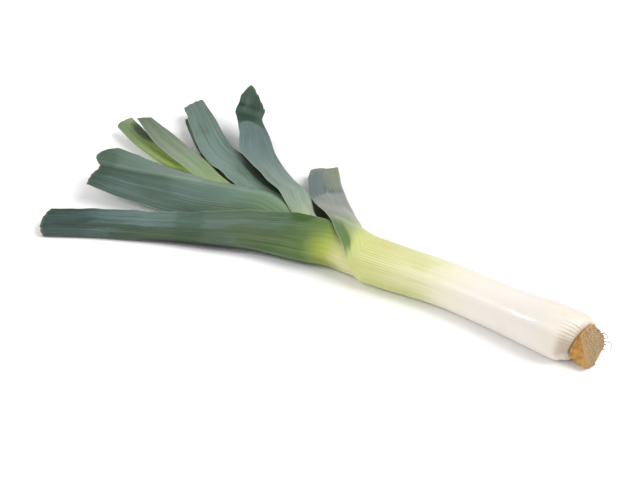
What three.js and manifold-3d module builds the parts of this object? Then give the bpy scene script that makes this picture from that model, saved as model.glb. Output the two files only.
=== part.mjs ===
// A leek laid on its side: a white shaft of rolled leaf sheaths with a trimmed root plate at the
// +X end, and seven folded leaf blades that fan out towards -X and are cut off at their ends.
// Millimetres, +Z up. The origin is the middle of the flat strip that the shaft lies on.
import * as THREE from "three";
import loadManifold from "manifold-3d";

// ---- Driving dimensions ----
const SHAFT_D = 34; // thickness of the shaft at its middle
const SHOULDER_X = 72.3; // where the shaft ends against the root plate
const FLAT_DEPTH = 0.4; // how far the shaft's weight flattens its underside
const SHEATH_WALL = 1.3;
const BLADE_WALL = 1;
const LAYER_PITCH = 2.1; // a sheath wall and the gap to the next sheath inside it
const BORE_FLOOR_X = -62; // how deep the inner sheaths are seated in the shaft
const SEAT_GAP = 0.3; // gap between pieces that bear on each other

const radians = THREE.MathUtils.degToRad;
const clamp = THREE.MathUtils.clamp;
const lerp = THREE.MathUtils.lerp;

// A smooth curve of value against position through [position, value] knots.
function spline(knots) {
  const sorted = [...knots].sort((a, b) => a[0] - b[0]);
  const slope = (i) => {
    const before = sorted[Math.max(i - 1, 0)];
    const after = sorted[Math.min(i + 1, sorted.length - 1)];
    return (after[1] - before[1]) / (after[0] - before[0]);
  };
  return (x) => {
    const inside = clamp(x, sorted[0][0], sorted.at(-1)[0]);
    const i = clamp(sorted.findIndex((k) => k[0] >= inside) - 1, 0, sorted.length - 2);
    const [x0, y0] = sorted[i];
    const [x1, y1] = sorted[i + 1];
    const h = x1 - x0;
    const t = (inside - x0) / h;
    return (
      (1 + 2 * t) * (1 - t) ** 2 * y0 +
      t * (1 - t) ** 2 * h * slope(i) +
      t * t * (3 - 2 * t) * y1 +
      t * t * (t - 1) * h * slope(i + 1)
    );
  };
}

// ---- The shaft's own line ----
const MID_R = SHAFT_D / 2;
const shaftRadius = spline([
  [-160, MID_R + 0.8],
  [-100, MID_R + 0.9],
  [-60, MID_R + 0.1],
  [-15, MID_R],
  [25, MID_R + 0.9],
  [50, MID_R + 2.3],
  [60, MID_R + 2.4],
  [67, MID_R + 1.9],
  [70.5, MID_R + 0.3],
  [SHOULDER_X, MID_R - 2.4],
]);
const shaftBow = spline([
  [90, 1], [72, -2.2], [58, -3.8], [45, -3.5], [0, 0], [-40, 1], [-95, -5], [-130, -6], [-190, -5],
]);
const rootDroop = spline([[50, 0], [62, 0.9], [74, 2.6]]);
const axisPoint = (x) => {
  const height = shaftRadius(Math.min(x, 50)) - FLAT_DEPTH - rootDroop(x);
  return new THREE.Vector3(x, shaftBow(x), height);
};
const axisTangent = (x) => axisPoint(x - 0.5).sub(axisPoint(x + 0.5)).normalize();
// The shaft's end is not square: past SLANT_FROM_X it runs on further on the +Y side.
const SLANT_FROM_X = 52;
const END_SLANT = 0.35; // towards +X for each mm of y
const slantEnd = (p) => {
  const share = clamp((p.x - SLANT_FROM_X) / (SHOULDER_X - SLANT_FROM_X), 0, 1) ** 2;
  p.x += share * END_SLANT * (p.y - shaftBow(p.x));
  return p;
};

// ---- One leaf: a closed sheath that opens at its mouth into a keeled blade ----
// side         +1 for the rank towards +Y, -1 for the rank towards -Y
// radius       outer radius of its sheath, as a function of x
// base, mouth  where its sheath starts and where it opens, as x
// floor        x where its hollow starts, or null for a tube that is open at its base
// keel         points on its keel past the mouth
// roll         elevation of the keel's outward side in degrees, from sheath to tip
// fold         how far each half leans back from flat in degrees, from mouth to tip
// upper, lower keel to margin of the two halves, from mouth to tip
// narrowing, uncurling  lengths over which the sheath gives way to the blade
// reach        how much further than the keel the tip runs, as [share of the half, length]
const VERTICAL = new THREE.Vector3(0, 0, 1);
const stations = (values) => spline(values.map((v, i) => [i / (values.length - 1), v]));
function leafShape(leaf) {
  const keelElevation = radians(leaf.roll[0]);
  const outwardAtKeel = new THREE.Vector3(
    0,
    leaf.side * Math.cos(keelElevation),
    Math.sin(keelElevation),
  );
  const ringXs = [leaf.base, ...leaf.firstRings];
  for (const end of leaf.floor === null ? [leaf.mouth] : [leaf.floor, leaf.mouth]) {
    const start = ringXs.at(-1);
    const spans = Math.max(1, Math.round((start - end) / leaf.sheathPitch));
    for (let i = 1; i <= spans; i++) ringXs.push(lerp(start, end, i / spans));
  }
  const sheathRows = ringXs.length - 1;
  const onRing = (x) => axisPoint(x).addScaledVector(outwardAtKeel, leaf.radius(x));
  const route = [...ringXs.map(onRing), ...leaf.keel.map((p) => new THREE.Vector3(...p))];
  const curve = new THREE.CatmullRomCurve3(route, false, "centripetal");
  const perPoint = 40;
  curve.arcLengthDivisions = perPoint * (route.length - 1);
  const lengths = curve.getLengths();
  const total = lengths.at(-1);
  const sheathLength = lengths[perPoint * sheathRows];
  const bladeLength = total - sheathLength;
  const profile = {
    roll: stations(leaf.roll),
    fold: stations(leaf.fold),
    upper: stations(leaf.upper),
    lower: stations(leaf.lower),
    reachUpper: spline(leaf.reachUpper ?? [[0, 0], [1, 0]]),
    reachLower: spline(leaf.reachLower ?? [[0, 0], [1, 0]]),
  };

  const frameAt = (s, ringX) => {
    const u = clamp(s / total, 0, 1);
    const past = Math.max(0, s - sheathLength);
    const t = clamp(past / leaf.uncurling, 0, 1);
    const curl = (1 - t) ** 2 * (1 + 2 * t);
    const keelTangent = curve.getTangentAt(u);
    const point = curve.getPointAt(u).addScaledVector(keelTangent, s - u * total);
    const tangent = axisTangent(ringX).lerp(keelTangent, 1 - curl).normalize();
    const outward = new THREE.Vector3().crossVectors(tangent, VERTICAL).normalize();
    outward.multiplyScalar(leaf.side);
    const upward = new THREE.Vector3().crossVectors(outward, tangent).multiplyScalar(leaf.side);
    const station = clamp(past / bladeLength, 0, 1);
    const roll = radians(profile.roll(station));
    const normal = outward.clone().multiplyScalar(Math.cos(roll));
    normal.addScaledVector(upward, Math.sin(roll));
    const lateral = outward.multiplyScalar(-Math.sin(roll));
    lateral.addScaledVector(upward, Math.cos(roll));
    return { point, normal, lateral, station, past, curl };
  };

  // A point `depth` under the outer face at column j of a half, half = +1 for the upper one.
  const facePoint = (row, half, j, depth) => {
    const share = j / leaf.columns;
    const reach = half > 0 ? profile.reachUpper(share) : profile.reachLower(share);
    const s = row.s + reach * row.share ** 4;
    const { point, normal, lateral, station, past, curl } = frameAt(s, row.x);
    const radius = leaf.radius(row.x);
    const narrow = Math.max(0, 1 - past / leaf.narrowing[half > 0 ? 0 : 1]) ** 2;
    const bladeWidth = half > 0 ? profile.upper(station) : profile.lower(station);
    const width = lerp(bladeWidth, Math.PI * radius, narrow);
    const step = width / leaf.columns;
    const lean = radians(profile.fold(station)) * (1 - curl);
    const arch = radians(leaf.arch) * (1 - curl);
    const bend = curl / radius;
    const chord = bend > 1e-6 ? (2 * Math.sin((bend * step) / 2)) / bend : step;
    const angle = (u) => lean * Math.min(1, u / leaf.keelRound) + arch * (u / width) + bend * u;
    let along = 0;
    let back = 0;
    for (let k = 0; k < j; k++) {
      along += Math.cos(angle((k + 0.5) * step)) * chord;
      back += Math.sin(angle((k + 0.5) * step)) * chord;
    }
    const tilt = angle(j * step);
    point.addScaledVector(lateral, half * (along - depth * Math.sin(tilt)));
    return slantEnd(point.addScaledVector(normal, -back - depth * Math.cos(tilt)));
  };

  const rows = ringXs.map((x, i) => ({ s: lengths[perPoint * i], x, share: 0, ring: true }));
  for (let i = 1; i <= leaf.bladeRows; i++) {
    const share = (i / leaf.bladeRows) ** 1.6;
    rows.push({ s: sheathLength + share * bladeLength, x: leaf.mouth, share, ring: false });
  }
  return { rows, sheathRows, facePoint };
}

// The closed skin of a leaf: outer face, inner face, the two margins, the tip and the base.
function leafGeometry(leaf) {
  const { rows, sheathRows, facePoint } = leafShape(leaf);
  const columns = 2 * leaf.columns;
  const positions = [];
  const triangles = [];
  const add = (p) => positions.push(p.x, p.y, Math.max(p.z, 0)) / 3 - 1;
  const face = (row, i, depth) => {
    const ids = [];
    for (let c = 0; c <= columns; c++) {
      const j = c - leaf.columns;
      const closes = c === columns && i <= sheathRows;
      ids.push(closes ? ids[0] : add(facePoint(row, Math.sign(j) || 1, Math.abs(j), depth)));
    }
    return ids;
  };
  const hollowFrom =
    leaf.floor === null ? 0 : rows.findIndex((r) => r.x <= leaf.floor + 1e-6);
  const wall = (row) => lerp(leaf.wall, BLADE_WALL, clamp(row.share * 4, 0, 1));
  const outer = rows.map((row, i) => face(row, i, 0));
  const inner = rows.map((row, i) => (i < hollowFrom ? null : face(row, i, wall(row))));
  const quad = (a, b, c, d) => {
    if (leaf.side > 0) triangles.push(a, c, b, a, d, c);
    else triangles.push(a, b, c, a, c, d);
  };

  for (let i = 0; i + 1 < rows.length; i++) {
    for (let c = 0; c < columns; c++) {
      quad(outer[i][c], outer[i][c + 1], outer[i + 1][c + 1], outer[i + 1][c]);
      if (i < hollowFrom) continue;
      quad(inner[i][c], inner[i + 1][c], inner[i + 1][c + 1], inner[i][c + 1]);
    }
    if (i < sheathRows) continue;
    quad(outer[i][columns], inner[i][columns], inner[i + 1][columns], outer[i + 1][columns]);
    quad(outer[i][0], outer[i + 1][0], inner[i + 1][0], inner[i][0]);
  }
  const last = rows.length - 1;
  for (let c = 0; c < columns; c++) {
    quad(outer[last][c], outer[last][c + 1], inner[last][c + 1], inner[last][c]);
  }
  if (leaf.floor === null) {
    for (let c = 0; c < columns; c++) {
      quad(outer[0][c + 1], outer[0][c], inner[0][c], inner[0][c + 1]);
    }
  } else {
    const baseCentre = add(axisPoint(leaf.base));
    const floorCentre = add(axisPoint(rows[hollowFrom].x));
    for (let c = 0; c < columns; c++) {
      quad(baseCentre, baseCentre, outer[0][c + 1], outer[0][c]);
      quad(floorCentre, floorCentre, inner[hollowFrom][c], inner[hollowFrom][c + 1]);
    }
  }
  const whole = [];
  for (let i = 0; i < triangles.length; i += 3) {
    const [a, b, c] = triangles.slice(i, i + 3);
    if (a !== b && b !== c && a !== c) whole.push(a, b, c);
  }
  const geometry = new THREE.BufferGeometry();
  geometry.setAttribute("position", new THREE.Float32BufferAttribute(positions, 3));
  geometry.setIndex(whole);
  geometry.computeVertexNormals();
  return geometry;
}

const sheathRadius = (layer) => (x) => shaftRadius(x) - LAYER_PITCH * layer;
const common = {
  columns: 7,
  floor: null,
  wall: SHEATH_WALL,
  base: BORE_FLOOR_X - SEAT_GAP,
  firstRings: [],
  sheathPitch: 14,
  bladeRows: 20,
  keelRound: 4,
  arch: 18,
};

// The leaves from the outermost inwards. Their keels lie alternately in the two ranks.
const leaves = [
  {
    ...common,
    name: "shaft_with_outer_leaf",
    color: 0xd9dcb4,
    side: 1,
    radius: shaftRadius,
    columns: 12,
    base: SHOULDER_X,
    firstRings: [71, 68, 63],
    sheathPitch: 11,
    floor: BORE_FLOOR_X,
    mouth: -101,
    keel: [[-115, 12, 28], [-126, 23, 24], [-148, 45, 16], [-174, 73, 9], [-192.5, 95.5, 6]],
    roll: [37.5, 23, 8, 2, 4],
    fold: [0, 33, 65, 75, 76],
    upper: [35, 29, 29.7, 30.3, 25],
    lower: [24, 29, 30.5, 27.5, 22],
    reachUpper: [[0, 3.5], [0.2, 1.5], [0.4, 0], [0.8, 0.5], [1, 0]],
    reachLower: [[0, 3.5], [0.3, 0], [1, 0]],
    narrowing: [18, 14],
    uncurling: 60,
  },
  {
    ...common,
    name: "leaf_2_front",
    color: 0x4f7263,
    side: -1,
    radius: sheathRadius(1),
    mouth: -116,
    keel: [
      [-130, -19.5, 8.5], [-147, -26, 9], [-187, -35, 8], [-224, -49, 6], [-261, -63.5, 4],
      [-297, -81, 3], [-336, -103.5, 2.5],
    ],
    roll: [-37.5, -22, -22, -21, -18, -13],
    fold: [0, 43, 59, 65, 69, 77],
    upper: [48, 36, 29, 24.5, 24.5, 25.7],
    lower: [24, 26, 26, 24, 24, 24],
    reachUpper: [[0, 0], [0.35, 2.5], [0.7, 1], [1, -3]],
    narrowing: [74, 30],
    uncurling: 98,
  },
  {
    ...common,
    name: "leaf_3_back",
    color: 0x6c8b80,
    side: 1,
    radius: sheathRadius(2),
    mouth: -140,
    keel: [
      [-155, 8.6, 25.6], [-180.5, 33.5, 23], [-202, 46, 20], [-219, 57.5, 18], [-238.5, 72, 17],
      [-255, 88, 17.5], [-275, 104.5, 19.5], [-278.5, 108, 21], [-279.5, 112.5, 27],
    ],
    roll: [37, 24, 12, 7.5, 9, 9, 19],
    fold: [0, 43, 51, 54, 56, 51, 44],
    upper: [25, 24.5, 27, 29.5, 32, 28.5, 22.5],
    lower: [22, 26, 26, 24, 22, 20, 16],
    reachUpper: [[0, 0], [0.5, 14], [0.7, 17], [1, 7]],
    narrowing: [25, 20],
    uncurling: 80,
  },
  {
    ...common,
    name: "leaf_4_front",
    color: 0x4a6e63,
    side: -1,
    radius: sheathRadius(3),
    mouth: -145,
    keel: [
      [-160, -8.5, 29], [-176, -1.5, 29.7], [-200, 3, 31], [-217, 0, 30.5], [-247, -7, 29.5],
      [-271.5, -11.5, 28], [-305.5, -19.5, 26], [-339, -26, 24],
    ],
    roll: [68, 90, 84, 76, 76, 75],
    fold: [0, 5, 25, 35, 17, -15],
    upper: [10, 8, 20, 25.5, 22, 20],
    lower: [26, 27, 28, 29.5, 25.5, 24],
    reachUpper: [[0, 3], [0.3, 9], [0.6, 7.5], [0.85, 2], [1, -4]],
    reachLower: [[0, 3], [0.15, 1.5], [0.5, 3], [1, 2]],
    narrowing: [20, 20],
    uncurling: 85,
  },
  {
    ...common,
    name: "leaf_5_back",
    color: 0x6f8f86,
    side: 1,
    radius: sheathRadius(4),
    mouth: -160,
    keel: [
      [-172, 5.5, 23.3], [-185, 16.5, 22.5], [-223.5, 35.5, 21], [-253.5, 52.5, 19.5], [-272, 59.5, 18],
      [-295, 75.5, 17], [-316.5, 92, 16], [-342.5, 110.5, 15],
    ],
    roll: [37.5, 28.5, 19, 16.5, 17.5, 28],
    fold: [0, 51, 74, 76, 75, 69],
    upper: [15, 18, 25.5, 26.5, 24.5, 19.5],
    lower: [20, 22, 25.5, 27, 27, 26.5],
    narrowing: [20, 20],
    uncurling: 60,
  },
  {
    ...common,
    name: "leaf_6_front",
    color: 0x8aa84a,
    side: -1,
    radius: sheathRadius(5),
    mouth: -170,
    keel: [
      [-185, -13.6, 10.4], [-200, -10.7, 9.4], [-220, -3, 9.5], [-240, 6.5, 9], [-290, 20.5, 10],
      [-305.5, 18, 10.5], [-351, 29.5, 10], [-383, 43, 10],
    ],
    roll: [-37.5, -20, 0, 9, 11, 6],
    fold: [0, 40, 60, 69, 71, 66],
    upper: [6, 6.6, 9, 11, 15.5, 15.5],
    lower: [8, 7.5, 6.5, 8, 9, 9],
    narrowing: [15, 15],
    uncurling: 60,
  },
  {
    ...common,
    name: "leaf_7_back",
    color: 0x7d9a82,
    side: 1,
    radius: sheathRadius(6.1),
    floor: -140,
    mouth: -180,
    keel: [
      [-200, 2, 16.5], [-235.5, 18.5, 13.5], [-258.5, 25.5, 14.5], [-286, 36, 16], [-318.5, 46, 18],
      [-355.5, 57.5, 19],
    ],
    roll: [37.5, 29.5, 24, 22.5, 20.5, 14],
    fold: [0, 44, 59, 60, 60, 49],
    upper: [11.5, 14, 17, 21, 22, 18],
    lower: [8, 10, 10.5, 12, 13, 14],
    narrowing: [20, 20],
    uncurling: 50,
  },
];

// ---- The root plate: a short stub of stem, trimmed by the knife, with the stumps of its roots ----
const PLATE_R = 17.5;
const PLATE_SEAT = 1; // from the shaft's end point to the plate, a hair's gap at the rim
const PLATE_CENTRE = [-1.5, 16]; // y and z of the middle of its cut face
const CUT_FACE_X = 81; // where that face crosses the plate's middle
const CUT_FACE_SLOPE = [0.15, -0.25]; // how far it runs towards +X for each mm of y and of z
// The knife cuts that square the plate off, each as its direction in degrees and its distance.
const KNIFE_CUTS = [[180, 11.3], [-108, 15.6], [-62, 12.6], [-8, 13.6], [35, 11.8], [95, 14.8]];
const PLATE_SIDES = 40;
const trimmedRadius = (angle) => {
  const cuts = KNIFE_CUTS.map(([direction, distance]) => {
    const facing = Math.cos(angle - radians(direction));
    return facing > 0.3 ? distance / facing : PLATE_R;
  });
  return Math.min(PLATE_R, ...cuts);
};
const cutFaceX = (y, z) =>
  CUT_FACE_X + CUT_FACE_SLOPE[0] * (y - PLATE_CENTRE[0]) + CUT_FACE_SLOPE[1] * (z - PLATE_CENTRE[1]);

// A closed loft through rings of equal length, capped by a fan at each end.
function loft(rings) {
  const n = rings[0].length;
  const positions = rings.flat().flatMap((p) => [p.x, p.y, Math.max(p.z, 0)]);
  const triangles = [];
  const ends = [rings[0], rings.at(-1)].map((ring) => {
    const middle = ring.reduce((sum, p) => sum.add(p), new THREE.Vector3()).divideScalar(n);
    return positions.push(middle.x, middle.y, Math.max(middle.z, 0)) / 3 - 1;
  });
  const last = (rings.length - 1) * n;
  for (let k = 0; k < n; k++) {
    const next = (k + 1) % n;
    triangles.push(ends[0], next, k, ends[1], last + k, last + next);
    for (let i = 0; i < last; i += n) {
      triangles.push(i + k, i + next, i + n + next, i + k, i + n + next, i + n + k);
    }
  }
  const geometry = new THREE.BufferGeometry();
  geometry.setAttribute("position", new THREE.Float32BufferAttribute(positions, 3));
  geometry.setIndex(triangles);
  return geometry;
}

function plateGeometry() {
  const towardsRoots = axisTangent(SHOULDER_X).negate();
  const seat = axisPoint(SHOULDER_X).addScaledVector(towardsRoots, PLATE_SEAT);
  const sideways = new THREE.Vector3().crossVectors(VERTICAL, towardsRoots).normalize();
  const upward = new THREE.Vector3().crossVectors(towardsRoots, sideways);
  const ring = (place) =>
    Array.from({ length: PLATE_SIDES }, (_, k) => place((2 * Math.PI * k) / PLATE_SIDES));
  const seatRing = (radius) => (angle) => {
    const p = seat.clone().addScaledVector(sideways, radius * Math.cos(angle));
    return slantEnd(p.addScaledVector(upward, radius * Math.sin(angle)));
  };
  const faceRing = (share, rise) => (angle) => {
    const radius = share * trimmedRadius(angle);
    const y = PLATE_CENTRE[0] + radius * Math.cos(angle);
    const z = PLATE_CENTRE[1] + radius * Math.sin(angle);
    return new THREE.Vector3(cutFaceX(y, z) + rise, y, z);
  };
  const flank = (angle) => seatRing(MID_R - 3)(angle).lerp(faceRing(1, 0)(angle), 0.3);
  return loft([
    ring(seatRing(MID_R - 3.2)),
    ring(flank),
    ring(faceRing(0.99, -1)),
    ring(faceRing(0.97, 0)),
    ring(faceRing(0.5, 0.6)),
  ]);
}

// A root as a six-sided tapering tube along a curve.
function rootGeometry(points, thick, thin) {
  const curve = new THREE.CatmullRomCurve3(points);
  const rows = points.length;
  const frames = curve.computeFrenetFrames(rows);
  const rings = [];
  for (let i = 0; i <= rows; i++) {
    const radius = lerp(thick, thin, i / rows) / 2;
    const ring = [];
    for (let k = 0; k < 6; k++) {
      const angle = (k * Math.PI) / 3;
      const p = curve.getPointAt(i / rows);
      p.addScaledVector(frames.normals[i], radius * Math.cos(angle));
      ring.push(p.addScaledVector(frames.binormals[i], radius * Math.sin(angle)));
    }
    rings.push(ring);
  }
  return loft(rings);
}

// Root stumps stand round the rim of the cut face and a few long roots curl away from it.
const STUMP_ANGLES = [-40, -22, -4, 12, 27, 43, 58, 74, 90, 107, 123, 140, -120, -96, -72];
const LONG_ROOTS = [
  { angle: 12, points: [[1, 1, 1.5], [3, 2, 1], [4.4, 2.5, -1], [4.2, 2.4, -4.5]] },
  { angle: -16, points: [[2, 1, 0], [4, 2.5, -0.5], [6.5, 3.5, -3], [5.5, 3, -8]] },
];
function plateRoots() {
  const rim = (angle, inset) => {
    const radius = trimmedRadius(radians(angle)) - inset;
    const y = PLATE_CENTRE[0] + radius * Math.cos(radians(angle));
    const z = PLATE_CENTRE[1] + radius * Math.sin(radians(angle));
    return new THREE.Vector3(cutFaceX(y, z) - 0.6, y, z);
  };
  const stumps = STUMP_ANGLES.map((angle, i) => {
    const start = rim(angle, 2.5);
    const end = rim(angle + 4 * Math.sin(5 * i), -0.9 - 0.5 * Math.sin(3 * i));
    end.x += 1.6 + 0.8 * Math.cos(7 * i);
    return rootGeometry([start, start.clone().lerp(end, 0.5), end], 1.6, 1.2);
  });
  const longOnes = LONG_ROOTS.map(({ angle, points }) => {
    const start = rim(angle, 2);
    const route = points.map((p) => start.clone().add(new THREE.Vector3(...p)));
    return rootGeometry([start, ...route], 1.4, 0.8);
  });
  return [...stumps, ...longOnes];
}

const manifold = await loadManifold();
manifold.setup();
const toManifold = (geometry) =>
  new manifold.Manifold(
    new manifold.Mesh({
      numProp: 3,
      vertProperties: geometry.getAttribute("position").array,
      triVerts: new Uint32Array(geometry.getIndex().array),
    }),
  );
function fused(geometries) {
  const mesh = manifold.Manifold.union(geometries.map(toManifold)).getMesh();
  const geometry = new THREE.BufferGeometry();
  geometry.setAttribute("position", new THREE.BufferAttribute(mesh.vertProperties, 3));
  geometry.setIndex(new THREE.BufferAttribute(mesh.triVerts, 1));
  geometry.computeVertexNormals();
  return geometry;
}

// ---- The whole leek ----
const pieces = leaves.map((leaf) => [leaf.name, leafGeometry(leaf), leaf.color]);
pieces.push(["root_plate_with_roots", fused([plateGeometry(), ...plateRoots()]), 0xb9925c]);
const leek = new THREE.Group();
for (const [name, geometry, color] of pieces) {
  const finish = { color, roughness: 0.5, metalness: 0 };
  const mesh = new THREE.Mesh(geometry, new THREE.MeshStandardMaterial(finish));
  mesh.name = name;
  leek.add(mesh);
}

export default leek;
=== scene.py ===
import math

import bpy
import numpy as np
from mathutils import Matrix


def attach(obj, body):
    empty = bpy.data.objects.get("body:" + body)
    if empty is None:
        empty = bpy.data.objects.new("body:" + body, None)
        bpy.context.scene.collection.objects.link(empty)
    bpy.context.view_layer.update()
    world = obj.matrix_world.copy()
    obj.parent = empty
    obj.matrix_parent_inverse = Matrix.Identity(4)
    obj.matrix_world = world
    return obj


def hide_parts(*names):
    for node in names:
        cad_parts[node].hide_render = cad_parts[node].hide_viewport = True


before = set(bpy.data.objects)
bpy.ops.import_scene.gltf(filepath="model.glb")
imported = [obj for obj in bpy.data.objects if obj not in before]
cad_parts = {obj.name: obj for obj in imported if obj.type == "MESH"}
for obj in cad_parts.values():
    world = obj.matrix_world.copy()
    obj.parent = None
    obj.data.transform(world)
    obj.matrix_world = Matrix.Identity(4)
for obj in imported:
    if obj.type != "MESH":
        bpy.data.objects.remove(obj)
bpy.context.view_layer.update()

# ---- The shaft and the outermost leaf ----
# A leek's shaft is a roll of leaf sheaths, one tube inside the next, white where it grew under the
# soil. The outermost sheath is its skin. At the neck it opens at a slanting mouth and becomes the
# outermost leaf's short blade, which leans away to the back. All sizes here are millimetres.
MID_R = 17
SHOULDER_X = 72.3  # where the shaft ends against the root plate
BORE_FLOOR_X = -62  # how deep the inner sheaths are seated
LAYER_PITCH = 2.1  # from one sheath's skin to the next one's inside it
FLAT_DEPTH = 0.4  # how far the shaft's weight flattens its underside
SHEATH_WALL, BLADE_WALL = 1.15, 0.75  # a leaf's thickness up to its mouth and out on its blade
FOLD_WIDTH = 4  # the fold at a keel turns over this width on each side
HALF_ARCH = math.radians(18)  # how far each half of a blade arches from keel to margin
INNER_FACE_Z = 0.8  # the least height of a leaf's inner face above the table
PATTERN_R = 9  # the veins and streaks are drawn round a tube of this radius


def smooth_curve(knots):
    """A smooth curve of value against position through (position, value) knots."""
    xs, ys = np.array(sorted(knots), float).T
    last = len(xs) - 1
    before = np.maximum(np.arange(last + 1) - 1, 0)
    after = np.minimum(np.arange(last + 1) + 1, last)
    slopes = (ys[after] - ys[before]) / (xs[after] - xs[before])

    def value(x):
        inside = np.clip(x, xs[0], xs[-1])
        i = np.clip(np.searchsorted(xs, inside, "left") - 1, 0, last - 1)
        h = xs[i + 1] - xs[i]
        t = (inside - xs[i]) / h
        start = (1 + 2 * t) * (1 - t) ** 2 * ys[i] + t * (1 - t) ** 2 * h * slopes[i]
        return start + t * t * (3 - 2 * t) * ys[i + 1] + t * t * (t - 1) * h * slopes[i + 1]

    return value


def stations(values):
    """The same curve through values at equal steps from a leaf's mouth to its tip."""
    return smooth_curve([(i / (len(values) - 1), v) for i, v in enumerate(values)])


shaft_radius = smooth_curve([
    (-160, MID_R + 0.8), (-100, MID_R + 0.9), (-60, MID_R + 0.1), (-15, MID_R), (25, MID_R + 0.9),
    (50, MID_R + 2.3), (60, MID_R + 2.4), (67, MID_R + 1.9), (70.5, MID_R + 0.3),
    (SHOULDER_X, MID_R - 2.4),
])
shaft_bow = smooth_curve([
    (90, 1), (72, -2.2), (58, -3.8), (45, -3.5), (0, 0), (-40, 1), (-95, -5), (-130, -6), (-190, -5),
])
root_droop = smooth_curve([(50, 0), (62, 0.9), (74, 2.6)])
SLANT_FROM_X, END_SLANT = 52, 0.35  # where the shaft's end starts to slant, and how steeply


def unit(v):
    return v / np.linalg.norm(v, axis=-1, keepdims=True)


def axis_point(x):
    x = np.asarray(x, float)
    height = shaft_radius(np.minimum(x, 50)) - FLAT_DEPTH - root_droop(x)
    return np.stack([x, shaft_bow(x), height], -1)


def axis_tangent(x):
    return unit(axis_point(np.asarray(x) - 0.5) - axis_point(np.asarray(x) + 0.5))


def slant_end(p):
    """The shaft's end is not square: it runs on further on the +Y side."""
    share = np.clip((p[..., 0] - SLANT_FROM_X) / (SHOULDER_X - SLANT_FROM_X), 0, 1) ** 2
    moved = p.copy()
    moved[..., 0] += share * END_SLANT * (p[..., 1] - shaft_bow(p[..., 0]))
    return moved


class Waves:
    """A smooth, seeded rise and fall over a leaf, between about -1 and 1."""

    def __init__(self, seed, along, across, terms=5):
        chance = np.random.default_rng(seed)
        self.along = 2 * math.pi / (along * chance.uniform(0.6, 1.6, terms))
        self.across = 2 * math.pi / (across * chance.uniform(0.6, 1.6, terms))
        self.phase = chance.uniform(0, 2 * math.pi, (2, terms))

    def __call__(self, along, across):
        total = 0
        for ka, kc, pa, pc in zip(self.along, self.across, *self.phase):
            total = total + np.sin(ka * along + pa) * np.sin(kc * across + pc)
        return total / math.sqrt(len(self.along))


def keel_route(leaf):
    """The keel's points and lengths from base to tip, and the sheath rings' x and lengths."""
    elevation = math.radians(leaf["roll"][0])
    outward = np.array([0, leaf["side"] * math.cos(elevation), math.sin(elevation)])
    rings = [leaf["base"], *leaf.get("first_rings", [])]
    for end in [v for v in (leaf.get("floor"), leaf["mouth"]) if v is not None]:
        start = rings[-1]
        spans = max(1, math.floor((start - end) / leaf.get("sheath_pitch", 14) + 0.5))
        rings += [start + (end - start) * i / spans for i in range(1, spans + 1)]
    rings = np.array(rings)
    through = axis_point(rings) + outward * leaf["radius"](rings)[:, None]
    through = np.vstack([through, np.array(leaf["keel"], float)])
    padded = np.vstack([2 * through[0] - through[1], through, 2 * through[-1] - through[-2]])
    pieces = []
    for p0, p1, p2, p3 in zip(padded, padded[1:], padded[2:], padded[3:]):
        d0, d1, d2 = (math.sqrt(np.linalg.norm(b - a)) for a, b in ((p0, p1), (p1, p2), (p2, p3)))
        leave = ((p1 - p0) / d0 - (p2 - p0) / (d0 + d1) + (p2 - p1) / d1) * d1
        arrive = ((p2 - p1) / d1 - (p3 - p1) / (d1 + d2) + (p3 - p2) / d2) * d1
        t = np.linspace(0, 1, 40, endpoint=False)[:, None]
        square = -3 * p1 + 3 * p2 - 2 * leave - arrive
        cube = 2 * p1 - 2 * p2 + leave + arrive
        pieces.append(p1 + leave * t + square * t**2 + cube * t**3)
    points = np.vstack([*pieces, through[-1:]])
    lengths = np.concatenate([[0], np.cumsum(np.linalg.norm(np.diff(points, axis=0), axis=1))])
    return points, lengths, rings, lengths[::40][: len(rings)]


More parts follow.
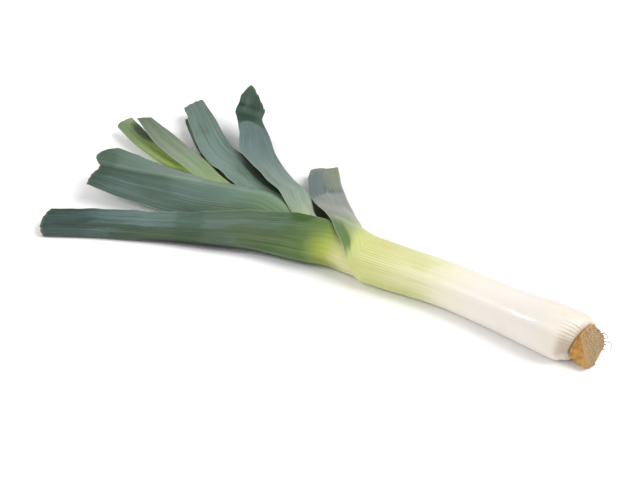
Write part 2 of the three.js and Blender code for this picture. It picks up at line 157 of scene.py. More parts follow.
def leaf_faces(leaf, columns, sheath_step, blade_rows):
    """Outer and inner face of a leaf as grids of points, with each grid point's place on the leaf."""
    points, lengths, rings, ring_lengths = keel_route(leaf)
    total, sheath_length = lengths[-1], ring_lengths[-1]
    blade_length = total - sheath_length
    middles = (lengths[1:] + lengths[:-1]) / 2
    directions = unit(np.diff(points, axis=0))
    spans = max(2, round(sheath_length / sheath_step))
    sheath_s = np.linspace(0, sheath_length, spans + 1)
    share = (np.arange(1, blade_rows + 1) / blade_rows) ** 1.25
    row_s = np.concatenate([sheath_s, sheath_length + share * blade_length])
    row_share = np.concatenate([np.zeros(spans + 1), share])
    row_x = np.interp(row_s, ring_lengths, rings)
    profile = {key: stations(leaf[key]) for key in ("roll", "fold", "upper", "lower")}
    reach = {
        1: smooth_curve(leaf.get("reach_upper", [(0, 0), (1, 0)])),
        -1: smooth_curve(leaf.get("reach_lower", [(0, 0), (1, 0)])),
    }
    swell = Waves(leaf["seed"], along=55, across=22)
    pleats = Waves(leaf["seed"] + 1, along=160, across=4.5, terms=7)
    frill = Waves(leaf["seed"] + 2, along=24, across=9)
    radius = leaf["radius"](row_x)
    ring_tangent = axis_tangent(row_x)
    vertical = np.array([0, 0, 1.0])

    faces = {}
    for depth_name in ("outer", "inner"):
        grid, places = [], []
        for column in range(-columns, columns + 1):
            half, j = (1 if column >= 0 else -1), abs(column)
            part = j / columns
            ragged = leaf["ragged"] * frill(0 * row_s, 40 * part * half)
            s = row_s + (reach[half](part) + ragged) * row_share**4
            past = np.maximum(0, s - sheath_length)
            t = np.clip(past / leaf["uncurling"], 0, 1)
            curl = (1 - t) ** 2 * (1 + 2 * t)
            keel_tangent = np.stack([np.interp(s, middles, directions[:, k]) for k in range(3)], 1)
            keel_tangent = unit(keel_tangent)
            place = np.stack([np.interp(s, lengths, points[:, k]) for k in range(3)], 1)
            place += keel_tangent * (s - np.clip(s, 0, total))[:, None]
            blend = curl[:, None]
            tangent = unit(ring_tangent * blend + keel_tangent * (1 - blend))
            outward = unit(np.cross(tangent, vertical)) * leaf["side"]
            upward = np.cross(outward, tangent) * leaf["side"]
            station = np.clip(past / blade_length, 0, 1)
            roll = np.radians(profile["roll"](station))[:, None]
            normal = outward * np.cos(roll) + upward * np.sin(roll)
            lateral = upward * np.cos(roll) - outward * np.sin(roll)
            narrow = np.maximum(0, 1 - past / leaf["narrowing"][0 if half > 0 else 1]) ** 2
            blade_width = profile["upper" if half > 0 else "lower"](station)
            blade_width = blade_width + leaf["wavy"] * frill(s, 30 * half + 0 * s) * (1 - narrow)
            width = blade_width * (1 - narrow) + math.pi * radius * narrow
            lean = np.radians(profile["fold"](station)) * (1 - curl)
            arch = HALF_ARCH * (1 - curl)
            bend = curl / radius
            step = width / columns

            def angle(u):
                return lean * np.minimum(1, u / FOLD_WIDTH) + arch * u / width + bend * u

            chord = np.where(bend > 1e-6, 2 * np.sin(bend * step / 2) / np.maximum(bend, 1e-9), step)
            out = back = np.zeros_like(s)
            for k in range(j):
                out = out + np.cos(angle((k + 0.5) * step)) * chord
                back = back + np.sin(angle((k + 0.5) * step)) * chord
            tilt = angle(j * step)
            across = half * part * width
            open_share = 1 - curl
            rise = leaf["swell"] * swell(past, across) * open_share
            rise = rise + leaf["pleated"] * pleats(past, across) * np.minimum(1, 0.25 + open_share)
            depth = -rise
            if depth_name == "inner":
                wall = np.interp(row_share, [0, 0.2], [SHEATH_WALL, BLADE_WALL])
                thin = 1 - 0.6 * np.clip((part - 0.8) / 0.2, 0, 1) * open_share
                depth = depth + wall * thin
            if "dent" in leaf:
                depth = depth + leaf["dent"](place[:, 0], half * part)
            p = place + lateral * (half * (out - depth * np.sin(tilt)))[:, None]
            p = slant_end(p - normal * (back + depth * np.cos(tilt))[:, None])
            p[:, 2] = np.maximum(p[:, 2], INNER_FACE_Z if depth_name == "inner" else 0)
            grid.append(p)
            places.append(np.stack([half * part * np.ones_like(s), s - sheath_length, row_share], 1))
        faces[depth_name] = np.stack(grid, 1), np.stack(places, 1)
    return faces, spans


def leaf_mesh(leaf, columns, sheath_step, blade_rows):
    """The closed skin of a leaf: two faces, two margins, the tip and the base."""
    faces, sheath_rows = leaf_faces(leaf, columns, sheath_step, blade_rows)
    outer, places = faces["outer"]
    inner, _ = faces["inner"]
    rows, across = outer.shape[:2]
    last = across - 1
    ids = np.arange(2 * rows * across).reshape(2, rows, across)
    welded = ids.copy()
    welded[:, : sheath_rows + 1, last] = ids[:, : sheath_rows + 1, 0]
    quads, corners = [], []

    def add(layer, row, col):
        """Quads from four grid corners, each given as arrays of layer, row and column."""
        layer, row, col = np.broadcast_arrays(layer, row, col)
        quads.append(welded[layer, row, col].reshape(-1, 4))
        corners.append(np.stack([layer, row, col], -1).reshape(-1, 4, 3))

    hollow_from = 0
    if "floor" in leaf:
        hollow_from = int(np.argmax(outer[:, across // 2, 0] < leaf["floor"]))
    r, c = np.meshgrid(np.arange(rows - 1), np.arange(last), indexing="ij")
    turn = np.array([0, 0, 1, 1]), np.array([0, 1, 1, 0])
    if leaf["side"] > 0:
        turn = turn[0][::-1], turn[1][::-1]
    grid_rows, grid_cols = r[..., None] + turn[0], c[..., None] + turn[1]
    add(0, grid_rows, grid_cols)
    add(1, grid_rows[hollow_from:, :, ::-1], grid_cols[hollow_from:, :, ::-1])
    r = np.arange(sheath_rows, rows - 1)[:, None]
    flip = 1 if leaf["side"] > 0 else -1
    layers = np.array([0, 0, 1, 1])[::flip]
    add(layers, r + np.array([0, 1, 1, 0])[::flip], last)
    add(layers[::-1], r + np.array([0, 1, 1, 0])[::-flip], 0)
    c = np.arange(last)[:, None]
    add(layers[::-1], rows - 1, c + np.array([0, 1, 1, 0])[::-flip])
    vertices = np.concatenate([outer.reshape(-1, 3), inner.reshape(-1, 3)])
    if "floor" not in leaf:
        add(layers, 0, c + np.array([0, 1, 1, 0])[::flip])
    quads = np.concatenate(quads).tolist()
    corners = np.concatenate(corners).reshape(-1, 3)
    if "floor" in leaf:
        for layer, row, centre in ((0, 0, axis_point(leaf["base"])), (1, hollow_from, None)):
            ring = welded[layer, row, :last]
            middle = centre if centre is not None else vertices[ring].mean(0)
            vertices = np.vstack([vertices, middle])
            ring = ring[:: -flip if layer else flip].tolist()
            for a, b in zip(ring, ring[1:] + ring[:1]):
                quads.append([a, b, len(vertices) - 1])
            caps = np.array([[layer, row, 0]] * (3 * len(ring)))
            corners = np.vstack([corners, caps])
    used = np.unique(np.concatenate([np.array(q) for q in quads]))
    renumber = np.zeros(len(vertices), int)
    renumber[used] = np.arange(len(used))
    quads = [renumber[q].tolist() for q in quads]
    mesh = bpy.data.meshes.new(leaf["name"])
    mesh.from_pydata((vertices[used] / 1000).tolist(), [], quads)
    part, along, share = places[corners[:, 1], corners[:, 2]].T
    turn = math.pi * part
    round_coordinates = np.stack([PATTERN_R * np.cos(turn), PATTERN_R * np.sin(turn), along], 1)
    for name, values in (
        ("leaf_round", round_coordinates),
        ("leaf_place", np.stack([part, along, share], 1)),
        ("leaf_side", np.stack([corners[:, 0], 0 * part, 0 * part], 1)),
    ):
        layer = mesh.attributes.new(name, "FLOAT_VECTOR", "CORNER")
        layer.data.foreach_set("vector", values.astype(np.float32).ravel())
    mesh.shade_smooth()
    mesh.set_sharp_from_angle(angle=math.radians(50))
    mesh.update()
    return mesh


def grow(leaf, columns, sheath_step, blade_rows, material):
    """Makes the leaf's piece, in place of its CAD node."""
    mesh = leaf_mesh(leaf, columns, sheath_step, blade_rows)
    piece = bpy.data.objects.new(leaf["name"] + "_skin", mesh)
    bpy.context.scene.collection.objects.link(piece)
    piece.data.materials.append(material)
    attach(piece, "root")
    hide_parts(leaf["name"])
    return piece


class Shade:
    """A socket of a material that can stand in sums: an expression on it adds its Math nodes."""

    def __init__(self, tree, socket=None):
        self.tree, self.socket = tree, socket

    def node(self, kind, settings, sockets, output=0):
        """Any node, from its type, its settings, and the values or links of its sockets."""
        made = self.tree.nodes.new("ShaderNode" + kind)
        for name, value in settings.items():
            if name == "stops":
                ramp = made.color_ramp
                for position, _ in value[1:-1]:
                    ramp.elements.new(position)
                for element, (position, colour) in zip(ramp.elements, value):
                    element.position, element.color = position, colour
            else:
                setattr(made, name, value)
        for key, value in sockets.items():
            if isinstance(value, Shade):
                self.tree.links.new(value.socket, made.inputs[key])
            else:
                made.inputs[key].default_value = value
        return Shade(self.tree, made.outputs[output])

    def sum(self, operation, *values):
        return self.node("Math", {"operation": operation}, dict(enumerate(values)))

    def __add__(self, other):
        return self.sum("ADD", self, other)

    def __sub__(self, other):
        return self.sum("SUBTRACT", self, other)

    def __rsub__(self, other):
        return self.sum("SUBTRACT", other, self)

    def __mul__(self, other):
        return self.sum("MULTIPLY", self, other)

    __radd__, __rmul__ = __add__, __mul__

    def __abs__(self):
        return self.sum("ABSOLUTE", self)

    def ease(self, start, end):
        """0 before start and 1 past end, or the other way round where end is the smaller."""
        sockets = {"Value": self, "From Min": start, "From Max": end}
        return self.node("MapRange", {"interpolation_type": "SMOOTHSTEP"}, sockets)

    def mix(self, low, high):
        """The colour that goes from low to high as this value goes from 0 to 1."""
        return self.node("Mix", {"data_type": "RGBA"}, {0: self, 6: low, 7: high}, 2)

    def lit(self, amount):
        """This colour made lighter or darker."""
        return self.node("VectorMath", {"operation": "SCALE"}, {0: self, "Scale": amount})

    def stretched(self, x, y, z, shift=0):
        """This place scaled along each direction, for a pattern finer one way than another."""
        return self.node(
            "VectorMath", {"operation": "MULTIPLY_ADD"}, {0: self, 1: (x, y, z), 2: (shift, shift, shift)}
        )

    def noise(self, scale, detail=3, roughness=0.55):
        sockets = {"Vector": self, "Scale": scale, "Detail": detail, "Roughness": roughness}
        return self.node("TexNoise", {}, sockets)

    def zigzag(self):
        """Up and down between 0 and 1, once for each whole number."""
        return self.sum("PINGPONG", self, 0.5) * 2

    def split(self):
        return [self.node("SeparateXYZ", {}, {0: self}, axis) for axis in range(3)]


def tint(red, green, blue):
    """A paint-card colour, 0 to 255 a channel, as light for a socket."""
    channels = [c / 255 for c in (red, green, blue)]
    return (*[c / 12.92 if c < 0.04045 else ((c + 0.055) / 1.055) ** 2.4 for c in channels], 1)


def new_material(name):
    """An empty node material, with its shader and a Shade to draw on."""
    material = bpy.data.materials.new(name)
    material.use_nodes = True
    tree = material.node_tree
    skin = tree.nodes["Principled BSDF"]
    return material, skin, Shade(tree)


def finish_material(material, skin, looks, bump=None):
    """Sets constant sockets, links varying ones, and adds the bump from (height, depth in metres)."""
    for name, value in looks.items():
        if isinstance(value, Shade):
            value.tree.links.new(value.socket, skin.inputs[name])
        else:
            skin.inputs[name].default_value = value
    if bump:
        height, depth = bump
        normal = height.node("Bump", {}, {"Strength": 1.0, "Distance": depth, "Height": height})
        normal.tree.links.new(normal.socket, skin.inputs["Normal"])
    return material


def leaf_coordinates(start):
    """Seamless millimetres round and along a leaf, then part of its half, along, share and face."""
    round_place = start.node("Attribute", {"attribute_name": "leaf_round"}, {}, "Vector")
    place = start.node("Attribute", {"attribute_name": "leaf_place"}, {}, "Vector")
    face = start.node("Attribute", {"attribute_name": "leaf_side"}, {}, "Vector")
    return round_place, *place.split(), face.split()[0]


def along_ramp(along, stops):
    """A colour that changes along a leaf, from (millimetres past the mouth, colour) stops."""
    first, last = stops[0][0], stops[-1][0]
    card = [((mm - first) / (last - first), tint(*colour)) for mm, colour in stops]
    return along.node("ValToRGB", {"stops": card}, {"Fac": (along - first) * (1 / (last - first))})


def sheath_material():
    """White and glossy at the root, yellow-green with lime flames at the neck, grey-green blade."""
    material, skin, start = new_material("pale_sheath_skin")
    round_place, part, along, share, face = leaf_coordinates(start)
    flames = round_place.stretched(1, 1, 0.03).noise(0.35, 4)
    streaks = round_place.stretched(1, 1, 0.015, 7).noise(1.1, 3, 0.6)
    patches = round_place.stretched(0.6, 0.6, 0.35, 3).noise(0.09, 2)
    shifted = along + (flames - 0.5) * 16
    colour = along_ramp(shifted, [
        (-176, (208, 197, 181)), (-164, (220, 211, 198)), (-140, (226, 219, 211)), (-95, (228, 221, 211)),
        (-74, (226, 220, 200)), (-52, (216, 212, 177)), (-30, (201, 199, 148)), (-12, (193, 192, 126)),
        (-2, (191, 193, 122)), (7, (182, 188, 112)), (15, (146, 158, 106)), (26, (130, 140, 112)),
        (36, (129, 136, 120)), (60, (131, 135, 127)), (82, (133, 138, 132)), (87, (100, 113, 108)),
        (96, (106, 118, 111)), (112, (111, 120, 111)), (135, (118, 124, 106)),
    ])
    # Lime flames on the neck, and a pale line along the blade's fold.
    lime = patches.ease(0.5, 0.62) * flames.ease(0.4, 0.6) * shifted.ease(-70, -44) * shifted.ease(4, -12)
    colour = (lime * 0.5).mix(colour, tint(186, 194, 116))
    crest = abs(part - (along * 0.026 - 0.02)).ease(0.12, 0.02) * along.ease(-14, 0) * along.ease(38, 30)
    colour = (crest * 0.25).mix(colour, tint(186, 192, 160))
    # Dark dashes and a bluish band where the blade's end has been bent.
    blotch = round_place.stretched(1, 1, 0.35, 11).noise(0.5, 4, 0.65)
    dashes = round_place.stretched(1.6, 1.6, 0.16, 17).noise(0.5, 2, 0.5)
    bent = along + part * 16 - 8
    tip_zone = bent.ease(82, 86) * along.ease(116, 90) * part.ease(0.15, 0.4)
    colour = (tip_zone * dashes.ease(0.47, 0.57) * 0.75).mix(colour, tint(56, 80, 86))
    bluish = bent.ease(84, 90) * part.ease(0.45, 0.75) * along.ease(132, 118)
    colour = (bluish * 0.8).mix(colour, tint(86, 104, 105))
    colour = (bent.ease(84, 94) * part.ease(0.6, 0.25) * 0.6).mix(colour, tint(120, 126, 100))
    # Veins on the neck, and the deep green of the mouth's lip.
    veins = (part * 30 + streaks).zigzag()
    green = shifted.ease(-80, -10)
    neck = green * along.ease(24, 4)
    colour = (veins.ease(0.6, 0.95) * neck * 0.24).mix(colour, tint(240, 236, 206))
    colour = (veins.ease(0.45, 0.1) * neck * 0.17).mix(colour, tint(150, 160, 84))
    green_patch = (along + flames * 8).ease(10.5, 15.5) * abs(part).ease(0.64, 0.78)
    green_patch = green_patch * (along - abs(part) * 30 + flames * 4).ease(9, 0)
    lush = (abs(part).ease(0.92, 0.76) + along.ease(20, 10)).mix(tint(88, 114, 80), tint(86, 114, 48))
    colour = (green_patch * 0.95).mix(colour, lush)
    # Fine dry threads on the blade, and a greener flank low on the neck.
    threads = round_place.stretched(1.5, 1.5, 0.008, 23).noise(1.5, 2, 0.5)
    threaded = along.ease(28, 45) * along.ease(90, 80) + 0.3 * along.ease(80, 90)
    colour = (threads.ease(0.48, 0.4) * threaded * 0.4).mix(colour, tint(92, 90, 80))
    colour = colour.lit(0.88 + streaks * (0.05 + green * 0.1))
    low_flank = abs(part).ease(0.74, 0.92) * along.ease(-66, -34) * along.ease(0, -8)
    low_flank = low_flank * flames.ease(0.3, 0.6)
    colour = (low_flank * 0.5).mix(colour, tint(162, 170, 78))
    # Painted shade in the hollow beside the root plate, and the creases there.
    beside = abs(part - 0.76).ease(0.26, 0.06) * along.ease(-160, -168)
    colour = (beside * 0.7).mix(colour, tint(154, 134, 110))
    creased = abs(part - 0.52).ease(0.22, 0.08) * 0.7 + 0.06
    hairlines = (part * 22).zigzag().ease(0.35, 0.05) * along.ease(-158, -171) * streaks.ease(0.36, 0.55)
    colour = (hairlines * creased).mix(colour, tint(104, 98, 74))
    # Scuffs, the pale margin, the cut end, and painted shade on the inner face past the mouth.
    scuffs = round_place.stretched(1, 1, 0.25, 19).noise(0.55, 5, 0.7)
    colour = (scuffs.ease(0.66, 0.74) * 0.5).mix(colour, tint(205, 186, 160))
    margin = abs(part).ease(0.975, 0.995) * along.ease(-2, 6)
    colour = (margin * 0.4).mix(colour, tint(180, 190, 156))
    cut = share.ease(0.99, 0.998)
    colour = (cut * 0.5).mix(colour, tint(150, 148, 118))
    # Painted shade: past the mouth the inner face is darkened as if it lay in the shadow deep inside the
    # neck.
    colour = (face * along.ease(-20, 10) * 0.8).mix(colour, tint(66, 84, 54))
    # One wet place, which glints.
    moist = abs(along + 139).ease(12, 6) * abs(part - 0.6).ease(0.16, 0.07)
    gloss = scuffs * 0.1 + shifted.ease(-60, 10) * 0.12 + 0.3
    height = veins * 0.4 * green + streaks * 0.6 + blotch * 0.6
    return finish_material(material, skin, {
        "Base Color": colour, "Roughness": gloss, "Coat Weight": moist * 0.85 + 0.1,
        "Coat Roughness": 0.08, "Specular IOR Level": 0.45, "Subsurface Weight": 0.3,
        "Subsurface Radius": (1.0, 0.9, 0.7), "Subsurface Scale": 0.003,
    }, (height, 0.00012))


def root_end_dent(x, part):
    """The hollow beside the root plate, and the pleats where the sheath draws in to it."""
    ledge = np.clip((x - 60.5) / 6, 0, 1) ** 2
    beside = (part - 0.88 + 1) % 2 - 1
    pleated = 0.03 + 0.22 * math.exp(-(((part - 0.52) / 0.12) ** 2))
    pleats = pleated * np.cos(2 * math.pi * 22 * part) * np.exp(-(((x - 70.5) / 4) ** 2))
    return 3.2 * ledge * math.exp(-((beside / 0.3) ** 2)) - pleats


# A leaf's sheath runs from base to mouth, its keel on through the points. Roll and fold are degrees,
# upper and lower the widths of the halves, all at equal steps from mouth to tip; reach is how far a
# half's cut end runs on past the keel's, from (part of the half, millimetres). Past the mouth the
# sheath narrows and uncurls to the blade over those lengths. Swell, wavy, ragged and pleated are
# heights of relief; a floor closes the tube's inside there.
shaft = {
    "name": "shaft_with_outer_leaf", "slot": "pale_sheath", "seed": 11, "side": 1,
    "radius": shaft_radius, "base": SHOULDER_X, "first_rings": [71, 68, 63], "sheath_pitch": 11,
    "floor": BORE_FLOOR_X, "mouth": -101,
    "keel": [(-115, 12, 28), (-126, 23, 24), (-148, 45, 16), (-174, 73, 9), (-192.5, 95.5, 6)],
    "roll": [37.5, 23, 8, 2, 4], "fold": [0, 33, 65, 75, 76],
    "upper": [35, 29, 29.7, 30.3, 25], "lower": [24, 29, 30.5, 27.5, 22],
    "reach_upper": [(0, 3.5), (0.2, 1.5), (0.4, 0), (0.8, 0.5), (1, 0)],
    "reach_lower": [(0, 3.5), (0.3, 0), (1, 0)],
    "narrowing": (18, 14), "uncurling": 60, "swell": 0.3, "wavy": 0.4, "ragged": 0.5, "pleated": 0.02,
    "dent": root_end_dent,
}
grow(shaft, columns=88, sheath_step=1.6, blade_rows=110, material=sheath_material())

# ---- The inner leaves ----
# Six younger leaves stand in two ranks, to the front and to the back. Each one's sheath is a tube
# inside the one before and opens into a folded blade with a keel, cut off across its end.


def sheath_radius(layer):
    return lambda x: shaft_radius(x) - LAYER_PITCH * layer


def blade_material(leaf):
    """A waxy, ribbed blade: its colours run from the mouth to the tip, apart at margin and keel."""
    material, skin, start = new_material(leaf["name"] + "_finish")
    round_place, part, along, share, face = leaf_coordinates(start)
    seed = leaf["seed"]
    flames = round_place.stretched(1, 1, 0.03, seed).noise(0.3, 4)
    streaks = round_place.stretched(1, 1, 0.012, seed + 3).noise(0.9, 4, 0.65)
    bloom = round_place.stretched(1, 1, 0.2, seed + 5).noise(0.12, 4, 0.6)
    fine = round_place.stretched(1, 1, 0.3, seed + 9).noise(1.2, 4, 0.7)
    shifted = along + (flames - 0.5) * leaf.get("flame", 40)
    strip = part if leaf.get("one_sided") else abs(part)
    outer = strip.ease(*leaf.get("strip", (0.3, 0.75)))
    keel_colour = along_ramp(shifted, leaf["keel_colours"])
    colour = outer.mix(keel_colour, along_ramp(shifted, leaf["margin_colours"]))
    # The waxy bloom in streaks, and the green where it is rubbed off.
    waxy = bloom.ease(0.42, 0.62) * shifted.ease(25, 80)
    colour = (waxy * leaf.get("bloom", 0.2)).mix(colour, tint(112, 136, 144))
    colour = (bloom.ease(0.46, 0.3) * 0.35).mix(colour, tint(60, 82, 58))
    colour = colour.lit(0.76 + streaks * 0.3)
    # Veins, ribs, the keel, the pale margin and scuffs.
    lines = round_place.stretched(1.3, 1.3, 0.008, seed + 13).noise(1, 2, 0.5)
    green = shifted.ease(5, 45)
    lined = green * leaf.get("lined", 1)
    colour = (lines.ease(0.46, 0.36) * lined * 0.4).mix(colour, tint(40, 58, 42))
    colour = (lines.ease(0.56, 0.66) * lined * 0.2).mix(colour, tint(126, 144, 132))
    ribs = (part * 24 + streaks * 3).zigzag()
    colour = (ribs.ease(0.7, 1) * 0.1).mix(colour, tint(150, 168, 140))
    keel_line = abs(part).ease(0.03, 0.012) * along.ease(0, 20)
    colour = (keel_line * 0.15).mix(colour, tint(150, 168, 130))
    margin = abs(part).ease(0.972, 0.995)
    colour = (margin * 0.35).mix(colour, tint(150, 162, 130))
    scuffs = fine.ease(0.68, 0.76)
    colour = (scuffs * 0.25).mix(colour, tint(150, 162, 140))
    # Painted shade on a turned-up tip; patches of tone and of painted shade; the cut end; the inner face.
    # Painted shade: the tip past its fold is darkened where it turns away from the lamp.
    if "painted_tip_shade" in leaf:
        start_share, end_share, amount, shade = leaf["painted_tip_shade"]
        colour = (share.ease(start_share, end_share) * amount).mix(colour, tint(*shade))
    for middle, height, long, wide, amount, shade in leaf.get("patches", []):
        far, across = (along - middle) * (1 / long), (part - height) * (1 / wide)
        patch = (far * far + across * across + (flames - 0.5) * 2).ease(1.3, 0.4)
        colour = (patch * amount).mix(colour, tint(*shade))
    cut = share.ease(0.99, 0.998)
    colour = (cut * 0.5).mix(colour, tint(112, 116, 78))
    inside_colour_and_shade = tint(*leaf.get("inside_colour_and_shade", (104, 126, 92)))
    colour = (face * leaf.get("inside", 0.3)).mix(colour, inside_colour_and_shade)
    height = ribs * 0.5 + streaks * 0.6 + fine * 0.4
    return finish_material(material, skin, {
        "Base Color": colour, "Roughness": 0.44 + bloom * 0.2 + scuffs * 0.1, "Specular IOR Level": 0.3,
    }, (height, 0.00015))


